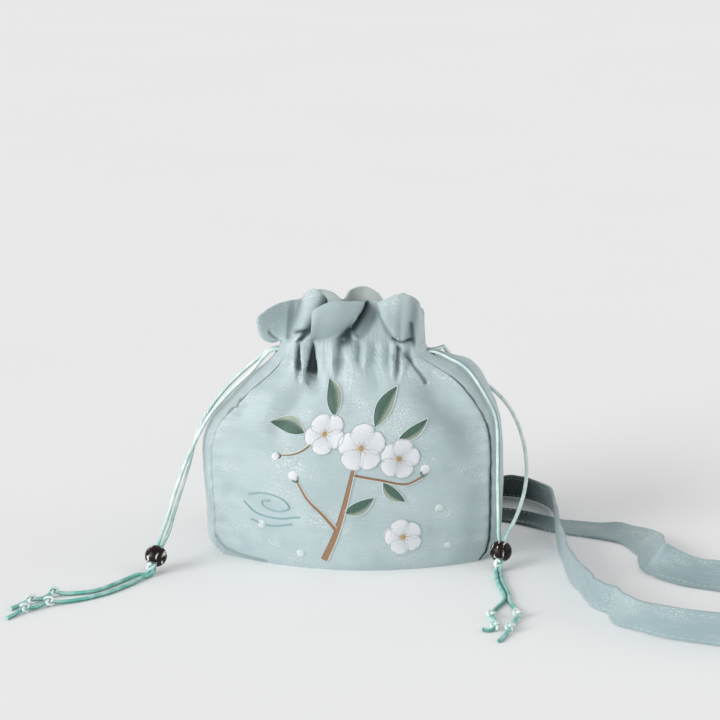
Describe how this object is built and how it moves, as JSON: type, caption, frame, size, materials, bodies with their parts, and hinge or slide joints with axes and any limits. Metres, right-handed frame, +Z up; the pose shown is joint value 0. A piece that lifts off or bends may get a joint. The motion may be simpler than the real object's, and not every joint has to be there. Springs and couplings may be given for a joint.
{
  "type": "drawstring shoulder bag",
  "caption": "Gathered cloth drawstring pouch with a ruffled mouth, beaded cord pulls on both sides, an embroidered front and a flat cloth shoulder strap lying beside it.",
  "frame": {"origin": "middle of the underside of the base, on the surface that the bag stands on", "axes": "+Z up, -Y out of the embroidered front, +X to the right seen from the front"},
  "size_m": [0.5584, 0.2856, 0.1985],
  "materials": {
    "bag_cloth": "fine satin weave with a sparse glitter",
    "strap_cloth": "folded satin weave, edge stitched",
    "satin_cord": "glossy satin cord",
    "dark_bead": "polished dark wood",
    "embroidery_thread": "glossy satin stitch",
    "seam_thread": "matt thread"
  },
  "bodies": {
    "root": {"front_panel": "bag_cloth", "back_panel": "bag_cloth", "gusset_left": "bag_cloth", "gusset_right": "bag_cloth", "base_panel": "bag_cloth", "shoulder_strap": "strap_cloth", "drawstring_left_front": "satin_cord", "drawstring_left_back": "satin_cord", "drawstring_right_front": "satin_cord", "drawstring_right_back": "satin_cord", "bead_left": "dark_bead", "bead_right": "dark_bead", "knot_left": "satin_cord", "knot_right": "satin_cord", "tail_left_upper": "satin_cord", "tail_left_lower": "satin_cord", "tail_right_inner": "satin_cord", "tail_right_outer": "satin_cord"}
  },
  "joints": []
}
